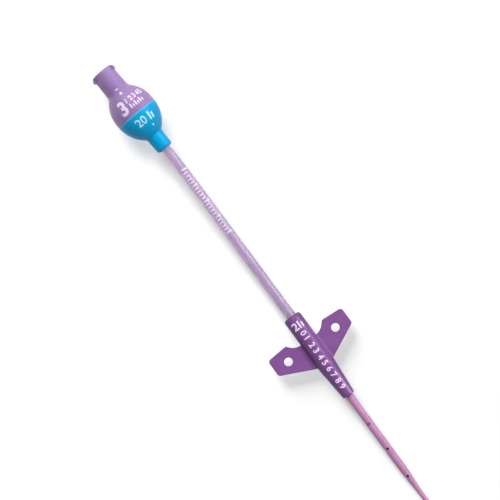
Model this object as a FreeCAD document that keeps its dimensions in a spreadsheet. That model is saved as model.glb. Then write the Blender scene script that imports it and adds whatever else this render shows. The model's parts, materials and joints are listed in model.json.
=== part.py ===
import FreeCAD, Part
import math
import os
import re
import Sketcher

# Single-lumen peripherally inserted central catheter, in millimetres, +Z up.
# It lies on the surface Z = 0: the hub's bulb, the winged junction's body and the coiled catheter touch it.
# The junction's axis runs along +X towards the catheter, and the two suture holes lie along Y.

V = FreeCAD.Vector
doc = FreeCAD.newDocument("catheter")

# Driving dimensions. Places on the hub are counted from its luer face, on the junction from its tube end.
size_table = {
    # female luer, with its two locking lugs
    "luer_mouth_dia": 4.3,
    "luer_taper": 0.06,
    "luer_depth": 7.5,
    "luer_front_dia": 6.75,
    "luer_back_dia": 7.05,
    "luer_face_round": 0.5,
    "lug_span": 7.83,
    "lug_place": 0.1,
    "lug_bevel": 0.75,
    "lug_land": 0.75,
    "lug_back_bevel": 0.3,
    "lug_angle": 54,
    # bulb of the hub, two shells that meet at the seam
    "bulb_dia": 13.1,
    "bulb_peak": 14.4,
    "bulb_band": 1.0,
    "bulb_front_arc": 9.2,
    "bulb_rear_arc": 10.0,
    "bulb_front_blend": 1.8,
    "seam_place": 15.65,
    "seam_bevel": 0.12,
    # valve chamber inside the bulb
    "chamber_dia": 10.0,
    "chamber_shoulder": 12.35,
    "chamber_mouth_dia": 7.2,
    "luer_passage_dia": 1.8,
    "luer_passage_length": 1.4,
    # slit disc, clamped at its rim
    "disc_rim": 1.3,
    "disc_web": 0.7,
    "disc_rim_width": 1.2,
    "slit_length": 4.2,
    "slit_width": 0.1,
    # lower shell and its neck
    "neck_passage_length": 1.2,
    "neck_passage_dia": 1.5,
    "neck_root_dia": 5.25,
    "neck_end_dia": 4.95,
    "neck_end": 28.35,
    "neck_end_round": 0.65,
    "neck_root_blend": 0.5,
    "hub_socket_depth": 6.5,
    "socket_lead_in": 0.2,
    # room for the bond round each piece that is glued or moulded in
    "bond_gap": 0.05,
    # extension tube: straight for a while out of the neck and into the junction, drooping a little between
    "tube_dia": 2.9,
    "tube_lumen_dia": 1.5,
    "tube_straight_out": 5.0,
    "tube_straight_in": 7.0,
    "tube_droop": 0.15,
    # winged junction
    "junction_dia": 5.5,
    "junction_length": 28.2,
    "junction_tip_dia": 3.75,
    "taper_start": 17.5,
    "junction_back_round": 0.9,
    "junction_tip_round": 0.5,
    "tube_socket_depth": 9.0,
    "catheter_socket_depth": 7.5,
    "junction_lumen_dia": 1.2,
    # suture wings, which start a little inside the barrel
    "wing_thickness": 1.2,
    "wing_sink": 0.4,
    "wing_notch_place": 8.45,
    "wing_scoop_radius": 4.6,
    "wing_shoulder_place": 6.0,
    "wing_shoulder_reach": 6.4,
    "wing_back_corner": 6.5,
    "wing_span": 26.3,
    "wing_front_corner": 11.75,
    "wing_root_place": 16.9,
    "wing_corner_round": 1.0,
    "wing_edge_round": 0.25,
    "wing_root_blend": 0.7,
    "suture_hole_dia": 2.6,
    "suture_hole_place": 10.1,
    "suture_hole_spacing": 16.85,
    "suture_hole_bevel": 0.15,
    # catheter, thicker where it leaves the junction, coming down to the surface on its way to the coil
    "catheter_root_dia": 2.2,
    "catheter_dia": 1.33,
    "catheter_lumen_dia": 0.8,
    "catheter_lift": 0.035,
    "catheter_straight_out": 6.5,
    "catheter_thick_length": 27.98,
    "catheter_bend_height": 1.36,
    "catheter_taper_length": 17.9,
    # put-away coil of the catheter: turns beside and on each other
    "coil_middle_dia": 16.0,
    "coil_columns": 3,
    "coil_layers": 4,
    "coil_edge_bevel": 0.4,
    # how the parts lie: the hub leans and turns a little against the junction
    "hub_lean": 3.8,
    "hub_turn": 3.7,
    "neck_end_x": -29.88,
    "neck_end_y": -0.49,
    "junction_x": 30.62,
    "coil_x": 106.2,
}

# Places worked out from the sizes above, such as where two outlines of the hub meet
derived_table = {
    "front_drop": "=bulb_front_arc - bulb_dia / 2 + luer_back_dia / 2",
    "front_meet": "=bulb_peak - sqrt(bulb_front_arc^2 - front_drop^2)",
    "rear_centre": "=bulb_peak + bulb_band",
    "rear_drop": "=bulb_rear_arc - bulb_dia / 2 + neck_root_dia / 2",
    "rear_meet": "=rear_centre + sqrt(bulb_rear_arc^2 - rear_drop^2)",
    "seam_drop": "=bulb_rear_arc - bulb_dia / 2",
    "seam_radius": "=sqrt(bulb_rear_arc^2 - (seam_place - rear_centre)^2) - seam_drop",
    "luer_bottom_radius": "=(luer_mouth_dia - luer_taper * luer_depth) / 2",
    "lug_foot_radius": "=(luer_mouth_dia + luer_front_dia) / 4",
    "lug_end": "=lug_place + lug_bevel + lug_land + lug_back_bevel",
    "disc_end": "=chamber_shoulder + disc_rim",
    "spigot_radius": "=chamber_dia / 2 - bond_gap",
    "hub_socket_floor": "=neck_end - hub_socket_depth",
    "tube_socket_radius": "=tube_dia / 2 + bond_gap",
    "catheter_socket_radius": "=catheter_root_dia / 2 + bond_gap",
    "catheter_socket_floor": "=junction_length - catheter_socket_depth",
    "wing_foot_reach": "=junction_dia / 2 - wing_sink",
    "coil_outer_turn": "=coil_middle_dia / 2 + (coil_columns - 1) * catheter_dia / 2",
    "catheter_low": "=catheter_dia / 2 + catheter_lift",
}

sheet = doc.addObject("Spreadsheet::Sheet", "sizes")
for row, (alias, value) in enumerate(list(size_table.items()) + list(derived_table.items()), start=1):
    sheet.set(f"A{row}", alias)
    sheet.set(f"B{row}", str(value))
    sheet.setAlias(f"B{row}", alias)
doc.recompute()

names = sorted([*size_table, *derived_table], key=len, reverse=True)
aliases = re.compile(r"\b(" + "|".join(names) + r")\b")


def bound(expression):
    # the expression with every size named in it read from the sheet
    return aliases.sub(r"sizes.\1", str(expression))


def value(expression):
    return sheet.evalExpression(bound(expression))


def new_body(label):
    body = doc.addObject("PartDesign::Body", label)
    body.Label = label
    return body


def origin_feature(body, role):
    return next(feature for feature in body.Origin.OriginFeatures if feature.Role == role)


def new_sketch(body, name, plane):
    sketch = body.newObject("Sketcher::SketchObject", name)
    sketch.AttachmentSupport = [(origin_feature(body, plane), "")]
    sketch.MapMode = "FlatFace"
    return sketch


def tie(sketch, geometry, point, kind, expression):
    # ties one coordinate of a sketch point to the sheet
    if str(expression) == "0":
        line = -2 if kind == "DistanceX" else -1
        sketch.addConstraint(Sketcher.Constraint("PointOnObject", geometry, point, line))
        return
    index = sketch.addConstraint(Sketcher.Constraint(kind, -1, 1, geometry, point, value(expression)))
    sketch.setExpression(f"Constraints[{index}]", bound(expression))


def outline(body, name, plane, corners):
    # A closed outline. Each corner is (x, y) or (x, y, arc radius of the edge that starts there), written as
    # expressions. The radius is positive where the arc bulges to the left of its way.
    sketch = new_sketch(body, name, plane)
    places = [V(value(corner[0]), value(corner[1]), 0) for corner in corners]
    edges = []
    for number, corner in enumerate(corners):
        start = places[number]
        end = places[(number + 1) % len(places)]
        if len(corner) == 2:
            edges.append((sketch.addGeometry(Part.LineSegment(start, end), False), 1, 2))
            continue
        signed = value(corner[2])
        middle = (start + end) / 2
        half = (end - start).Length / 2
        left = V(start.y - end.y, end.x - start.x, 0).normalize()
        rise = abs(signed) - math.sqrt(signed**2 - half**2)
        crown = middle + left * math.copysign(rise, signed)
        arc = Part.Arc(start, crown, end)
        index = sketch.addGeometry(arc, False)
        near, far = ((sketch.getPoint(index, end_id) - start).Length for end_id in (1, 2))
        edges.append((index, 1, 2) if near < far else (index, 2, 1))
        radius = sketch.addConstraint(Sketcher.Constraint("Radius", index, abs(signed)))
        sketch.setExpression(f"Constraints[{radius}]", bound(corner[2]).lstrip("-"))
    for number, corner in enumerate(corners):
        index, first, last = edges[number]
        following, its_first, its_last = edges[(number + 1) % len(edges)]
        sketch.addConstraint(Sketcher.Constraint("Coincident", index, last, following, its_first))
        tie(sketch, index, first, "DistanceX", corner[0])
        tie(sketch, index, first, "DistanceY", corner[1])
    return sketch


def turned(body, kind, name, sketch, angle=None, middle=False):
    # a Revolution or Groove about the body's X axis
    feature = body.newObject(kind, name)
    feature.Profile = sketch
    feature.ReferenceAxis = (sketch, ["H_Axis"])
    feature.Angle = 360
    if angle:
        feature.setExpression("Angle", bound(angle))
    feature.Midplane = middle
    doc.recompute()
    return feature


def ring_edges(shape, place, radius):
    # the circular edges about X at one place with one radius
    found = []
    for number, edge in enumerate(shape.Edges, start=1):
        curve = edge.Curve
        if isinstance(curve, Part.Circle) and abs(curve.Axis.x) > 0.999:
            if abs(curve.Center.x - place) < 0.01 and abs(curve.Radius - radius) < 0.01:
                found.append(f"Edge{number}")
    return found


def flat_edges(shape, wanted):
    # the edges on the wings' upper and lower faces whose middle lies at a wanted reach from the axis
    found = []
    for number, edge in enumerate(shape.Edges, start=1):
        middle = edge.CenterOfMass
        level = abs(abs(middle.z) - value("wing_thickness / 2")) < 0.01 and edge.BoundBox.ZLength < 0.01
        if level and wanted(abs(middle.y)):
            found.append(f"Edge{number}")
    return found


def dressed(body, kind, name, base, edges, size):
    # a Fillet or Chamfer of the sheet's size on named edges of the feature before it
    feature = body.newObject(kind, name)
    feature.Base = (base, edges)
    feature.setExpression("Radius" if kind.endswith("Fillet") else "Size", bound(size))
    doc.recompute()
    return feature


# Where the hub lies
lean = math.radians(value("hub_lean"))
turn = math.radians(value("hub_turn"))
hub_along = V(math.cos(lean) * math.cos(turn), math.cos(lean) * math.sin(turn), -math.sin(lean))
hub_side = V(-math.sin(turn), math.cos(turn), 0)
# the bulb's rear arc rests on the surface: the height of the axis over that arc's middle
rest_height = value("bulb_rear_arc") - (value("bulb_rear_arc") - value("bulb_dia / 2")) * math.cos(lean)
neck_end_height = rest_height - value("neck_end - rear_centre") * math.sin(lean)
neck_end_point = V(value("neck_end_x"), value("neck_end_y"), neck_end_height)
hub_rotation = FreeCAD.Rotation(hub_along, hub_side, hub_along.cross(hub_side), "XYZ")
hub_placement = FreeCAD.Placement(neck_end_point - hub_along * value("neck_end"), hub_rotation)

# Where the junction lies
junction_height = value("junction_dia / 2")
junction_x = value("junction_x")
junction_placement = FreeCAD.Placement(V(junction_x, 0, junction_height), FreeCAD.Rotation())


def luer_housing():
    # the front shell: female luer with lugs, flaring into the front half of the bulb
    body = new_body("luer_housing")
    outer = outline(body, "luer_outer", "XY_Plane", [
        (0, 0),
        (0, "luer_front_dia / 2"),
        ("front_meet", "luer_back_dia / 2", "bulb_front_arc"),
        ("bulb_peak", "bulb_dia / 2"),
        ("rear_centre", "bulb_dia / 2", "bulb_rear_arc"),
        ("seam_place", "seam_radius"),
        ("seam_place", 0),
    ])
    shell = turned(body, "PartDesign::Revolution", "shell", outer)
    meets = ring_edges(shell.Shape, value("front_meet"), value("luer_back_dia / 2"))
    shell = dressed(body, "PartDesign::Fillet", "bulb_blend", shell, meets, "bulb_front_blend")
    face = ring_edges(shell.Shape, 0, value("luer_front_dia / 2"))
    shell = dressed(body, "PartDesign::Fillet", "face_round", shell, face, "luer_face_round")
    seam = ring_edges(shell.Shape, value("seam_place"), value("seam_radius"))
    shell = dressed(body, "PartDesign::Chamfer", "seam_edge", shell, seam, "seam_bevel")

    # one lug as a bevelled sector, and its twin across the luer
    section = outline(body, "lug_section", "XY_Plane", [
        ("lug_place", "lug_foot_radius"),
        ("lug_place", "luer_front_dia / 2"),
        ("lug_place + lug_bevel", "lug_span / 2"),
        ("lug_place + lug_bevel + lug_land", "lug_span / 2"),
        ("lug_end", "luer_front_dia / 2"),
        ("lug_end", "lug_foot_radius"),
    ])
    lug = turned(body, "PartDesign::Revolution", "lug", section, angle="lug_angle", middle=True)
    lugs = body.newObject("PartDesign::PolarPattern", "lugs")
    lugs.Originals = [lug]
    lugs.Axis = (origin_feature(body, "X_Axis"), [""])
    lugs.Angle = 360
    lugs.Occurrences = 2
    body.Tip = lugs
    doc.recompute()

    # luer bore, passage, front half of the valve chamber and the bore that takes the lower shell
    inner = outline(body, "luer_inner", "XY_Plane", [
        (0, 0),
        (0, "luer_mouth_dia / 2"),
        ("luer_depth", "luer_bottom_radius"),
        ("luer_depth", "luer_passage_dia / 2"),
        ("luer_depth + luer_passage_length", "luer_passage_dia / 2"),
        ("chamber_shoulder", "chamber_mouth_dia / 2"),
        ("chamber_shoulder", "chamber_dia / 2"),
        ("seam_place", "chamber_dia / 2"),
        ("seam_place", 0),
    ])
    turned(body, "PartDesign::Groove", "bore", inner)
    body.Placement = hub_placement
    return body


def valve_disc():
    # silicone disc with a thick rim and a slit that opens under pressure either way
    body = new_body("valve_disc")
    section = outline(body, "disc_section", "XY_Plane", [
        ("chamber_shoulder + disc_rim / 2 - disc_web / 2", 0),
        ("chamber_shoulder + disc_rim / 2 - disc_web / 2", "spigot_radius - disc_rim_width"),
        ("chamber_shoulder", "spigot_radius - disc_rim_width"),
        ("chamber_shoulder", "spigot_radius"),
        ("disc_end", "spigot_radius"),
        ("disc_end", "spigot_radius - disc_rim_width"),
        ("chamber_shoulder + disc_rim / 2 + disc_web / 2", "spigot_radius - disc_rim_width"),
        ("chamber_shoulder + disc_rim / 2 + disc_web / 2", 0),
    ])
    disc = turned(body, "PartDesign::Revolution", "disc", section)
    slit_outline = outline(body, "slit_outline", "YZ_Plane", [
        ("-slit_length / 2", "-slit_width / 2"),
        ("slit_length / 2", "-slit_width / 2"),
        ("slit_length / 2", "slit_width / 2"),
        ("-slit_length / 2", "slit_width / 2"),
    ])
    slit = body.newObject("PartDesign::Pocket", "slit")
    slit.Profile = slit_outline
    slit.Type = "ThroughAll"
    slit.Midplane = True
    doc.recompute()
    body.Placement = hub_placement
    return body


def lower_housing():
    # the rear shell: rear half of the bulb with a spigot that clamps the disc, and the neck
    body = new_body("lower_housing")
    outer = outline(body, "lower_outer", "XY_Plane", [
        ("disc_end", 0),
        ("disc_end", "spigot_radius"),
        ("seam_place", "spigot_radius"),
        ("seam_place", "seam_radius", "bulb_rear_arc"),
        ("rear_meet", "neck_root_dia / 2"),
        ("neck_end", "neck_end_dia / 2"),
        ("neck_end", 0),
    ])
    shell = turned(body, "PartDesign::Revolution", "shell", outer)
    root = ring_edges(shell.Shape, value("rear_meet"), value("neck_root_dia / 2"))
    shell = dressed(body, "PartDesign::Fillet", "neck_blend", shell, root, "neck_root_blend")
    end = ring_edges(shell.Shape, value("neck_end"), value("neck_end_dia / 2"))
    shell = dressed(body, "PartDesign::Fillet", "neck_round", shell, end, "neck_end_round")
    seam = ring_edges(shell.Shape, value("seam_place"), value("seam_radius"))
    shell = dressed(body, "PartDesign::Chamfer", "seam_edge", shell, seam, "seam_bevel")
    inner = outline(body, "lower_inner", "XY_Plane", [
        ("disc_end", 0),
        ("disc_end", "chamber_mouth_dia / 2"),
        ("hub_socket_floor - neck_passage_length", "neck_passage_dia / 2"),
        ("hub_socket_floor", "neck_passage_dia / 2"),
        ("hub_socket_floor", "tube_socket_radius"),
        ("neck_end - socket_lead_in", "tube_socket_radius"),
        ("neck_end", "tube_socket_radius + socket_lead_in"),
        ("neck_end", 0),
    ])
    turned(body, "PartDesign::Groove", "bore", inner)
    body.Placement = hub_placement
    return body


def winged_junction():
    # one moulding over the extension tube and the catheter, with two suture wings
    body = new_body("winged_junction")
    outer = outline(body, "junction_outer", "XY_Plane", [
        (0, 0),
        (0, "junction_dia / 2"),
        ("taper_start", "junction_dia / 2"),
        ("junction_length", "junction_tip_dia / 2"),
        ("junction_length", 0),
    ])
    barrel = turned(body, "PartDesign::Revolution", "barrel", outer)
    back = ring_edges(barrel.Shape, 0, value("junction_dia / 2"))
    barrel = dressed(body, "PartDesign::Fillet", "back_round", barrel, back, "junction_back_round")
    tip = ring_edges(barrel.Shape, value("junction_length"), value("junction_tip_dia / 2"))
    barrel = dressed(body, "PartDesign::Fillet", "tip_round", barrel, tip, "junction_tip_round")

    wing_outline = outline(body, "wing_outline", "XY_Plane", [
        ("wing_notch_place", "wing_foot_reach", "-wing_scoop_radius"),
        ("wing_shoulder_place", "wing_shoulder_reach"),
        ("wing_back_corner", "wing_span / 2"),
        ("wing_front_corner", "wing_span / 2"),
        ("wing_root_place", "wing_foot_reach"),
    ])
    wing = body.newObject("PartDesign::Pad", "wing")
    wing.Profile = wing_outline
    wing.Midplane = True
    wing.setExpression("Length", bound("wing_thickness"))
    doc.recompute()
    twin = body.newObject("PartDesign::Mirrored", "wings")
    twin.Originals = [wing]
    twin.MirrorPlane = (origin_feature(body, "XZ_Plane"), [""])
    body.Tip = twin
    doc.recompute()

    # upright corners of the two wings: shoulder, back corner and front corner
    corner_places = [("wing_shoulder_place", "wing_shoulder_reach")]
    corner_places += [("wing_back_corner", "wing_span / 2"), ("wing_front_corner", "wing_span / 2")]
    wanted = [(value(x), value(y)) for x, y in corner_places]
    corners = []
    for number, edge in enumerate(twin.Shape.Edges, start=1):
        middle = edge.CenterOfMass
        upright = abs(edge.BoundBox.ZLength - value("wing_thickness")) < 0.01
        if upright and any(math.hypot(middle.x - x, abs(middle.y) - y) < 0.01 for x, y in wanted):
            corners.append(f"Edge{number}")
    solid = dressed(body, "PartDesign::Fillet", "wing_corners", twin, corners, "wing_corner_round")

    # the hollow corner where each plate grows out of the barrel, then the rims of the plates
    roots = flat_edges(solid.Shape, lambda reach: reach < value("junction_dia / 2"))
    solid = dressed(body, "PartDesign::Fillet", "wing_roots", solid, roots, "wing_root_blend")
    rims = flat_edges(solid.Shape, lambda reach: reach > value("junction_dia / 2 + wing_root_blend"))
    solid = dressed(body, "PartDesign::Fillet", "wing_rims", solid, rims, "wing_edge_round")

    # suture holes, through both wings
    places = new_sketch(body, "hole_places", "XY_Plane")
    for side in ("", "-"):
        x, y = value("suture_hole_place"), value(f"{side}suture_hole_spacing / 2")
        hole = Part.Circle(V(x, y, 0), V(0, 0, 1), value("suture_hole_dia / 2"))
        circle = places.addGeometry(hole, False)
        size = places.addConstraint(Sketcher.Constraint("Diameter", circle, value("suture_hole_dia")))
        places.setExpression(f"Constraints[{size}]", bound("suture_hole_dia"))
        tie(places, circle, 3, "DistanceX", "suture_hole_place")
        tie(places, circle, 3, "DistanceY", f"{side}suture_hole_spacing / 2")
    holes = body.newObject("PartDesign::Pocket", "suture_holes")
    holes.Profile = places
    holes.Type = "ThroughAll"
    holes.Midplane = True
    body.Tip = holes
    doc.recompute()
    hole_rims = [
        f"Edge{number}" for number, edge in enumerate(holes.Shape.Edges, start=1)
        if isinstance(edge.Curve, Part.Circle) and abs(edge.Curve.Axis.z) > 0.999
        and abs(edge.Curve.Radius - value("suture_hole_dia / 2")) < 0.01
    ]
    dressed(body, "PartDesign::Chamfer", "hole_bevels", holes, hole_rims, "suture_hole_bevel")

    # sockets for the tube and the catheter, with the lumen between them
    inner = outline(body, "junction_inner", "XY_Plane", [
        (0, 0),
        (0, "tube_socket_radius + socket_lead_in"),
        ("socket_lead_in", "tube_socket_radius"),
        ("tube_socket_depth", "tube_socket_radius"),
        ("tube_socket_depth", "junction_lumen_dia / 2"),
        ("catheter_socket_floor", "junction_lumen_dia / 2"),
        ("catheter_socket_floor", "catheter_socket_radius"),
        ("junction_length", "catheter_socket_radius"),
        ("junction_length", 0),
    ])
    turned(body, "PartDesign::Groove", "bore", inner)
    body.Placement = junction_placement
    return body


def route_edges(points):
    # straight runs joined by tangent arcs, each as large as its two runs allow
    share = 0.45
    edges = []
    radii = []
    start = points[0]
    for before, corner, after in zip(points, points[1:], points[2:]):
        back = before - corner
        ahead = after - corner
        half_turn = (math.pi - back.getAngle(ahead)) / 2
        reach = share * min(back.Length, ahead.Length)
        radii.append(reach / math.tan(half_turn))
        enter = corner + V(back).normalize() * reach
        leave = corner + V(ahead).normalize() * reach
        inward = (V(back).normalize() + V(ahead).normalize()).normalize()
        centre = corner + inward * (reach / math.sin(half_turn))
        crown = centre - inward * radii[-1]
        edges.append(Part.LineSegment(start, enter).toShape())
        edges.append(Part.Arc(enter, crown, leave).toShape())
        start = leave
    edges.append(Part.LineSegment(start, points[-1]).toShape())
    print("arc radii", [round(radius, 1) for radius in radii])
    return edges


def swept(edges, diameter):
    # a round bar along a run of tangent edges
    path = Part.Wire(edges)
    start = edges[0].Vertexes[0].Point
    along = edges[0].tangentAt(edges[0].FirstParameter)
    ring = Part.Wire([Part.Circle(start, along, diameter / 2).toShape()])
    bar = path.makePipe(Part.Face(ring))
    wanted = math.pi * diameter**2 / 4 * path.Length
    share = round(bar.Volume / wanted, 9)
    print("bar", diameter, "length", round(path.Length, 2), "volume over section times length", share)
    return bar


def new_feature(label, shape):
    feature = doc.addObject("Part::Feature", label)
    feature.Label = label
    feature.Shape = shape
    feature.Placement = FreeCAD.Placement()
    return feature


def hub_point(place):
    return hub_placement.multVec(V(place, 0, 0))


def extension_tube():
    # glued into the neck and moulded into the junction, in one long easy bend between them
    out = hub_point(value("neck_end + tube_straight_out"))
    into = V(junction_x - value("tube_straight_in"), 0, junction_height)
    droop = V(0, 0, value("tube_droop"))
    points = [
        hub_point(value("hub_socket_floor")),
        out,
        out + (into - out) / 3 - droop,
        out + (into - out) * 2 / 3 - droop,
        into,
        V(junction_x + value("tube_socket_depth"), 0, junction_height),
    ]
    print("extension tube route", [tuple(round(c, 3) for c in point) for point in points])
    edges = route_edges(points)
    tube = swept(edges, value("tube_dia")).cut(swept(edges, value("tube_lumen_dia")))
    return new_feature("extension_tube", tube)


def catheter_tube():
    # leaves the junction thick, comes down to the surface, tapers and runs on to the coil
    socket_x = junction_x + value("catheter_socket_floor")
    thick_end_x = socket_x + value("catheter_thick_length")
    points = [
        V(socket_x, 0, junction_height),
        V(junction_x + value("junction_length + catheter_straight_out"), 0, junction_height),
        V(thick_end_x, 0, value("catheter_bend_height")),
        V(thick_end_x + value("catheter_taper_length"), 0, value("catheter_low")),
        V(value("coil_x"), 0, value("catheter_low")),
    ]
    print("catheter route", [tuple(round(c, 3) for c in point) for point in points])
    edges = route_edges(points)
    # edges 0 to 3 are thick, edge 4 is the straight run that tapers, edges 5 and 6 are thin
    thick, taper, thin = edges[:4], edges[4], edges[5:]
    start, end = taper.Vertexes[0].Point, taper.Vertexes[1].Point

    def stepped(root_dia, end_dia):
        cone = Part.makeCone(root_dia / 2, end_dia / 2, taper.Length, start, end - start)
        return swept(thick, root_dia).fuse([cone, swept(thin, end_dia)])

    bore = swept(edges, value("catheter_lumen_dia"))
    tube = stepped(value("catheter_root_dia"), value("catheter_dia")).cut(bore)
    return new_feature("catheter_tube", tube)


def catheter_coil():
    # outer shape of the neat coil, with the channel in which the catheter comes in along its outer lowest turn
    body = new_body("catheter_coil")
    corners = [("inside", "foot"), ("outside", "foot"), ("outside", "top"), ("inside", "top")]
    places = {
        "inside": "coil_middle_dia / 2 - coil_columns * catheter_dia / 2",
        "outside": "coil_middle_dia / 2 + coil_columns * catheter_dia / 2",
        "foot": 0,
        "top": "coil_layers * catheter_dia",
    }
    section = outline(body, "coil_section", "XZ_Plane", [(places[x], places[z]) for x, z in corners])
    ring = body.newObject("PartDesign::Revolution", "ring")
    ring.Profile = section
    ring.ReferenceAxis = (section, ["V_Axis"])
    ring.Angle = 360
    doc.recompute()
    edges = []
    for number, edge in enumerate(ring.Shape.Edges, start=1):
        if isinstance(edge.Curve, Part.Circle) and abs(edge.Curve.Axis.z) > 0.999:
            edges.append(f"Edge{number}")
    dressed(body, "PartDesign::Chamfer", "turn_bevels", ring, edges, "coil_edge_bevel")
    end = new_sketch(body, "channel_end", "YZ_Plane")
    middle = V(value("coil_outer_turn"), value("catheter_low"), 0)
    channel_ring = Part.Circle(middle, V(0, 0, 1), value("catheter_dia / 2 + bond_gap"))
    circle = end.addGeometry(channel_ring, False)
    size = end.addConstraint(Sketcher.Constraint("Radius", circle, value("catheter_dia / 2 + bond_gap")))
    end.setExpression(f"Constraints[{size}]", bound("catheter_dia / 2 + bond_gap"))
    tie(end, circle, 3, "DistanceX", "coil_outer_turn")
    tie(end, circle, 3, "DistanceY", "catheter_low")
    channel = body.newObject("PartDesign::Pocket", "channel")
    channel.Profile = end
    channel.Type = "Length"
    channel.setExpression("Length", bound("coil_middle_dia / 2"))
    doc.recompute()
    place = V(value("coil_x"), -value("coil_outer_turn"), 0)
    body.Placement = FreeCAD.Placement(place, FreeCAD.Rotation())
    return body


pieces = [luer_housing(), valve_disc(), lower_housing(), extension_tube()]
pieces += [winged_junction(), catheter_tube(), catheter_coil()]
doc.recompute()

for item in doc.Objects:
    if "Invalid" in item.State or "Error" in item.State:
        raise RuntimeError(f"{item.Name} failed: {item.State}")
for piece in pieces:
    if piece.Shape.isNull() or not piece.Shape.isValid() or len(piece.Shape.Solids) != 1:
        raise RuntimeError(f"{piece.Label} has no single valid solid")

os.makedirs("parts", exist_ok=True)
for piece in pieces:
    piece.Shape.exportStep(f"parts/{piece.Label}.step")
    box = piece.Shape.optimalBoundingBox(False)
    print(piece.Label, "volume", round(piece.Shape.Volume, 2), "box", [round(c, 3) for c in (
        box.XMin, box.YMin, box.ZMin, box.XMax, box.YMax, box.ZMax)])
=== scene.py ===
import json
import math

import bmesh
import bpy
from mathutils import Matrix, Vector
from mathutils.bvhtree import BVHTree


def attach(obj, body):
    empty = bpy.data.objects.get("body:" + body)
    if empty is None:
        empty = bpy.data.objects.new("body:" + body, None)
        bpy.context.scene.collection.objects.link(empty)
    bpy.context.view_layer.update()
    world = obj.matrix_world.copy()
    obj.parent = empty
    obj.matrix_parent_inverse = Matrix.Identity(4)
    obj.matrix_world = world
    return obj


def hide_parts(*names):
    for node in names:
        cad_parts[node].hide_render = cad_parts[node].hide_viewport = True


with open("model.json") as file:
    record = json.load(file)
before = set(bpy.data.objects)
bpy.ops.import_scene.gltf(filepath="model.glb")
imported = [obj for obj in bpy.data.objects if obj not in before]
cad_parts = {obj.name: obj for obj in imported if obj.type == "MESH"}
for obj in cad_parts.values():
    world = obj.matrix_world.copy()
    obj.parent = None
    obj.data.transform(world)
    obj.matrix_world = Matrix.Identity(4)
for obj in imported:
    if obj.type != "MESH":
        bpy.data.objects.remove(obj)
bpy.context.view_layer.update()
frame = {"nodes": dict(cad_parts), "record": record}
nodes = frame["nodes"]
mounts = {m["name"]: m for m in frame["record"]["mounts"]}
mm = 0.001
print("frame: %d nodes" % len(nodes))


def tint(red, green, blue):
    # the light that a colour stands for when it is written as on the screen, 0 to 255
    steps = [c / 255 for c in (red, green, blue)]
    return tuple(c / 12.92 if c <= 0.04045 else ((c + 0.055) / 1.055) ** 2.4 for c in steps) + (1.0,)


def metres(spot):
    return Vector(spot) * mm


def newPiece(name, mesh, material):
    piece = bpy.data.objects.new(name, mesh)
    bpy.context.scene.collection.objects.link(piece)
    mesh.materials.append(material)
    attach(piece, "root")
    return piece


# Camera

camera = {
    "over": (8.05, 1.76),  # mm, the spot in the middle of the picture
    "height": 405,  # mm
    "turn": 53.7,  # degrees about the vertical
    "focalPixels": 1391,  # the focal length in the picture's pixels
    "picturePixels": 500,
    "sensor": 36,  # mm
    "nearest": 0.01,  # metres
    "farthest": 10,
}


def setCamera(spec):
    data = bpy.data.cameras.new("camera")
    data.sensor_width = spec["sensor"]
    data.lens = spec["focalPixels"] / spec["picturePixels"] * spec["sensor"]
    data.clip_start = spec["nearest"]
    data.clip_end = spec["farthest"]
    stand = bpy.data.objects.new("camera", data)
    bpy.context.scene.collection.objects.link(stand)
    stand.location = metres(spec["over"] + (spec["height"],))
    stand.rotation_euler = (0, 0, math.radians(spec["turn"]))
    bpy.context.scene.camera = stand


setCamera(camera)
print("camera set")


# Shader helpers

def put(tree, kind, inputs=None, settings=None):
    # one node; each input, by its name or number, takes a plain value or another node's output
    node = tree.nodes.new(kind)
    for key, value in (settings or {}).items():
        setattr(node, key, value)
    for key, source in (inputs or {}).items():
        if isinstance(source, (int, float, tuple)):
            node.inputs[key].default_value = source
        else:
            tree.links.new(source, node.inputs[key])
    return node


def calc(tree, operation, *inputs, clamp=False):
    settings = {"operation": operation, "use_clamp": clamp}
    return put(tree, "ShaderNodeMath", dict(enumerate(inputs)), settings).outputs[0]


def calcVector(tree, operation, inputs):
    # the outputs of a vector node: a vector first, then a number called Value
    return put(tree, "ShaderNodeVectorMath", inputs, {"operation": operation}).outputs


def awayFrom(tree, value, middle):
    return calc(tree, "ABSOLUTE", calc(tree, "SUBTRACT", value, middle))


def stretch(tree, value, fromLow, fromHigh, toLow=0.0, toHigh=1.0):
    inputs = dict(enumerate((value, fromLow, fromHigh, toLow, toHigh)))
    return put(tree, "ShaderNodeMapRange", inputs).outputs[0]


def blend(tree, factor, first, second):
    return put(tree, "ShaderNodeMix", {0: factor, 6: first, 7: second}, {"data_type": "RGBA"}).outputs[2]


def blendShare(tree, mask, share, first, second):
    # the second colour where the mask is white, but never more of it than the share
    return blend(tree, calc(tree, "MULTIPLY", mask, share), first, second)


def noiseAt(tree, place, scale, detail):
    return put(tree, "ShaderNodeTexNoise", {"Vector": place, "Scale": scale, "Detail": detail}).outputs[0]


def axesOf(tree, vector):
    return put(tree, "ShaderNodeSeparateXYZ", {0: vector}).outputs


def objectPlace(tree):
    return put(tree, "ShaderNodeTexCoord").outputs["Object"]


def tubePlace(tree):
    # the turn round a tube, from 0 to 1, and the mm along it, from the tube's own map
    return axesOf(tree, put(tree, "ShaderNodeUVMap", None, {"uv_map": "tubeMap"}).outputs[0])[:2]


# Shader groups that several materials share

def newGroup(name, inputs, outputs):
    tree = bpy.data.node_groups.new(name, "ShaderNodeTree")
    for socketName, kind, start in inputs:
        socket = tree.interface.new_socket(socketName, in_out="INPUT", socket_type="NodeSocket" + kind)
        socket.default_value = start
    for socketName, kind in outputs:
        tree.interface.new_socket(socketName, in_out="OUTPUT", socket_type="NodeSocket" + kind)
    return tree, tree.nodes.new("NodeGroupInput").outputs, tree.nodes.new("NodeGroupOutput").inputs


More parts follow.
